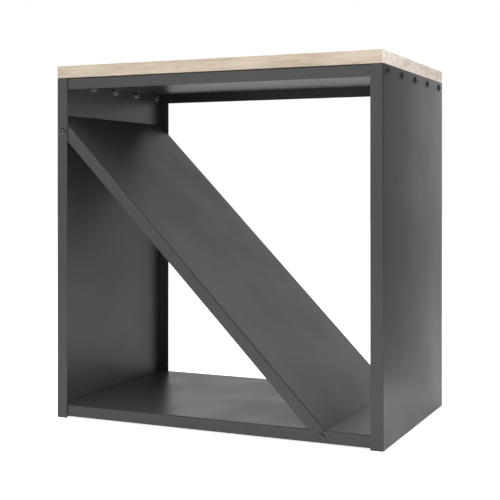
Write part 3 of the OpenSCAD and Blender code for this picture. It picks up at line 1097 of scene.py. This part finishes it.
class LOGHOLDER_OT_bolts(bpy.types.Operator):
    """Turn the flat button head bolts of the sides and of the divider"""

    bl_idname = "log_holder.bolts"
    bl_label = "Button head bolts"

    def execute(self, context):
        settings = context.scene.log_holder_fasteners
        chance = random.Random(settings.seed)
        for row, out in BOLT_ROWS.items():
            stand_fasteners(f"{row}_bolts", out, button_bolt, BOLT, settings, chance)
        return {"FINISHED"}


class LOGHOLDER_OT_nuts_and_washers(bpy.types.Operator):
    """Turn the nuts and washers of the bolts and studs"""

    bl_idname = "log_holder.nuts_and_washers"
    bl_label = "Nuts and washers"

    def execute(self, context):
        settings = context.scene.log_holder_fasteners
        chance = random.Random(settings.seed + 1)
        for row, out in {**BOLT_ROWS, **STUD_ROWS}.items():
            for kind, make in (("nuts", hexagon_nut), ("washers", flat_washer)):
                stand_fasteners(f"{row}_{kind}", out, make, ZINC, settings, chance)
        return {"FINISHED"}


class LOGHOLDER_OT_studs(bpy.types.Operator):
    """Turn the studs welded low on the side panels"""

    bl_idname = "log_holder.studs"
    bl_label = "Welded studs"

    def execute(self, context):
        settings = context.scene.log_holder_fasteners
        chance = random.Random(settings.seed + 2)
        for row, out in STUD_ROWS.items():
            stand_fasteners(f"{row}_studs", out, weld_stud, ZINC, settings, chance)
        return {"FINISHED"}


class LOGHOLDER_OT_board_screws(bpy.types.Operator):
    """Turn the countersunk screws that hold the board from below"""

    bl_idname = "log_holder.board_screws"
    bl_label = "Board screws"

    def execute(self, context):
        settings = context.scene.log_holder_fasteners
        chance = random.Random(settings.seed + 3)
        stand_fasteners("top_board_screws", DOWN, wood_screw, BOLT, settings, chance)
        return {"FINISHED"}


class LOGHOLDER_OT_stage(bpy.types.Operator):
    """Lay the pale floor, hang the lights and stand the camera"""

    bl_idname = "log_holder.stage"
    bl_label = "Stage"

    def execute(self, context):
        settings = context.scene.log_holder_stage
        self.lay_floor(settings)
        self.light_room(settings)
        self.hang_lamps(settings)
        self.stand_flag(settings)
        self.stand_camera(settings)
        context.scene.view_settings.view_transform = "Standard"
        return {"FINISHED"}

    @staticmethod
    def lay_floor(settings):
        """A pale floor that keeps the object's shadow and looks whiter to the camera"""
        bm = bmesh.new()
        bmesh.ops.create_grid(bm, x_segments=1, y_segments=1, size=settings.floor_size / 2)
        material = bpy.data.materials.new("pale_floor")
        tree = empty_tree(material)
        matt = node(tree, "ShaderNodeBsdfDiffuse", Color=rgba(settings.floor_colour))
        path = node(tree, "ShaderNodeLightPath").outputs
        seen = reckon(tree, "MULTIPLY", path["Is Camera Ray"], settings.floor_whiteness)
        mirrored = reckon(tree, "MULTIPLY", path["Is Glossy Ray"], settings.floor_lift)
        glow = node(tree, "ShaderNodeEmission", Strength=reckon(tree, "ADD", seen, mirrored))
        both = node(tree, "ShaderNodeAddShader")
        for part, socket in zip((matt, glow), both.inputs):
            tree.links.new(part.outputs[0], socket)
        node(tree, "ShaderNodeOutputMaterial", Surface=both.outputs[0])
        floor = meshed("floor", bm, material)

    @staticmethod
    def light_room(settings):
        """An even room, white where it is seen directly or in a reflection"""
        world = bpy.data.worlds.new("white_room")
        bpy.context.scene.world = world
        tree = empty_tree(world)
        path = node(tree, "ShaderNodeLightPath").outputs
        ray = node(tree, "ShaderNodeTexCoord").outputs["Generated"]
        height = node(tree, "ShaderNodeSeparateXYZ", Vector=ray).outputs["Z"]
        # The walls grow into the ceiling between these heights of a ray's direction
        walls, ceiling = 0.25, 0.7
        above = between(
            tree, height, walls, ceiling, settings.mirrored_light, settings.ceiling_light,
        )
        extra = reckon(tree, "SUBTRACT", above, settings.room_light)
        mirrored = reckon(tree, "MULTIPLY", extra, path["Is Glossy Ray"])
        seen = reckon(tree, "MAXIMUM", path["Is Camera Ray"], path["Is Transmission Ray"])
        white = reckon(tree, "MULTIPLY", 1.0 - settings.room_light, seen)
        strength = reckon(tree, "ADD", settings.room_light, reckon(tree, "ADD", mirrored, white))
        room = node(tree, "ShaderNodeBackground", Color=(1, 1, 1, 1), Strength=strength)
        node(tree, "ShaderNodeOutputWorld", Surface=room.outputs[0])

    @staticmethod
    def hang_lamps(settings):
        """Large soft lights at the front left, overhead and at the front right, and one low"""
        middle = Vector((0, 0, 0.4))
        # Name, power, place, size, and whether it shows in reflections
        lamps = (
            ("key", settings.key_power, settings.key_place, (1.3, 1.3), True),
            ("overhead", settings.top_power, (0, -0.6, 3.2), (3.0, 3.0), False),
            ("side", settings.side_power, (3.0, -1.4, 1.4), (2.0, 2.0), False),
            ("bounce", settings.bounce_power, (0, -0.8, 0.05), (1.4, 0.1), False),
        )
        for name, power, place, (width, height), mirrored in lamps:
            lamp = bpy.data.lights.new(name, "AREA")
            lamp.shape = "RECTANGLE"
            lamp.size = width
            lamp.size_y = height
            lamp.energy = power
            hung = placed(name, lamp)
            hung.location = place
            heading = middle - hung.location
            hung.rotation_euler = heading.to_track_quat("-Z", "Y").to_euler()
            hung.visible_glossy = mirrored
            hung.visible_camera = False

    @staticmethod
    def stand_flag(settings):
        """A dark board round the right side, which only shows in reflections"""
        bm = bmesh.new()
        corners = (settings.flag_near, settings.flag_bend, settings.flag_far, settings.flag_end)
        feet = [bm.verts.new((*corner, 0)) for corner in corners]
        foot = [bm.edges.new(pair) for pair in zip(feet, feet[1:])]
        made = bmesh.ops.extrude_edge_only(bm, edges=foot)["geom"]
        tops = [item for item in made if isinstance(item, bmesh.types.BMVert)]
        bmesh.ops.translate(bm, vec=(0, 0, settings.flag_height), verts=tops)
        material = bpy.data.materials.new("dark_flag")
        tree = empty_tree(material)
        dark = node(tree, "ShaderNodeBsdfDiffuse", Color=(0.02, 0.02, 0.02, 1))
        node(tree, "ShaderNodeOutputMaterial", Surface=dark.outputs[0])
        flag = meshed("flag", bm, material)
        for rays in ("camera", "diffuse", "transmission", "shadow", "volume_scatter"):
            setattr(flag, f"visible_{rays}", False)

    @staticmethod
    def stand_camera(settings):
        """The camera of the photograph"""
        data = bpy.data.cameras.new("camera")
        data.lens = settings.camera_lens
        data.sensor_width = 36.0
        data.shift_x = settings.camera_side
        data.shift_y = settings.camera_rise
        camera = placed("camera", data)
        camera.location = settings.camera_place
        camera.rotation_euler = (math.pi / 2, 0, settings.camera_heading)
        bpy.context.scene.camera = camera


OPERATORS = (
    LOGHOLDER_OT_steel_sheets,
    LOGHOLDER_OT_foot_tabs,
    LOGHOLDER_OT_oak_board,
    LOGHOLDER_OT_board_screws,
    LOGHOLDER_OT_bolts,
    LOGHOLDER_OT_nuts_and_washers,
    LOGHOLDER_OT_studs,
    LOGHOLDER_OT_stage,
)
SETTINGS = {
    "log_holder_steel": SteelSettings,
    "log_holder_oak": OakSettings,
    "log_holder_fasteners": FastenerSettings,
    "log_holder_stage": StageSettings,
}


class LOGHOLDER_PT_sidebar(bpy.types.Panel):
    """Sizes, colours and pieces of the log holder"""

    bl_idname = "LOGHOLDER_PT_sidebar"
    bl_label = "Log holder"
    bl_space_type = "VIEW_3D"
    bl_region_type = "UI"
    bl_category = "Log holder"

    def draw(self, context):
        for key, group in SETTINGS.items():
            box = self.layout.box()
            box.label(text=group.__doc__)
            for prop in group.__annotations__:
                box.prop(getattr(context.scene, key), prop)
        for operator in OPERATORS:
            self.layout.operator(operator.bl_idname)


CLASSES = (*SETTINGS.values(), *OPERATORS, LOGHOLDER_PT_sidebar)


def register():
    for cls in CLASSES:
        bpy.utils.register_class(cls)
    for key, group in SETTINGS.items():
        setattr(bpy.types.Scene, key, PointerProperty(type=group))


def unregister():
    for key in SETTINGS:
        delattr(bpy.types.Scene, key)
    for cls in reversed(CLASSES):
        bpy.utils.unregister_class(cls)


def main():
    register()
    for operator in OPERATORS:
        getattr(bpy.ops.log_holder, operator.bl_idname.split(".")[1])()


if __name__ == "__main__":
    main()
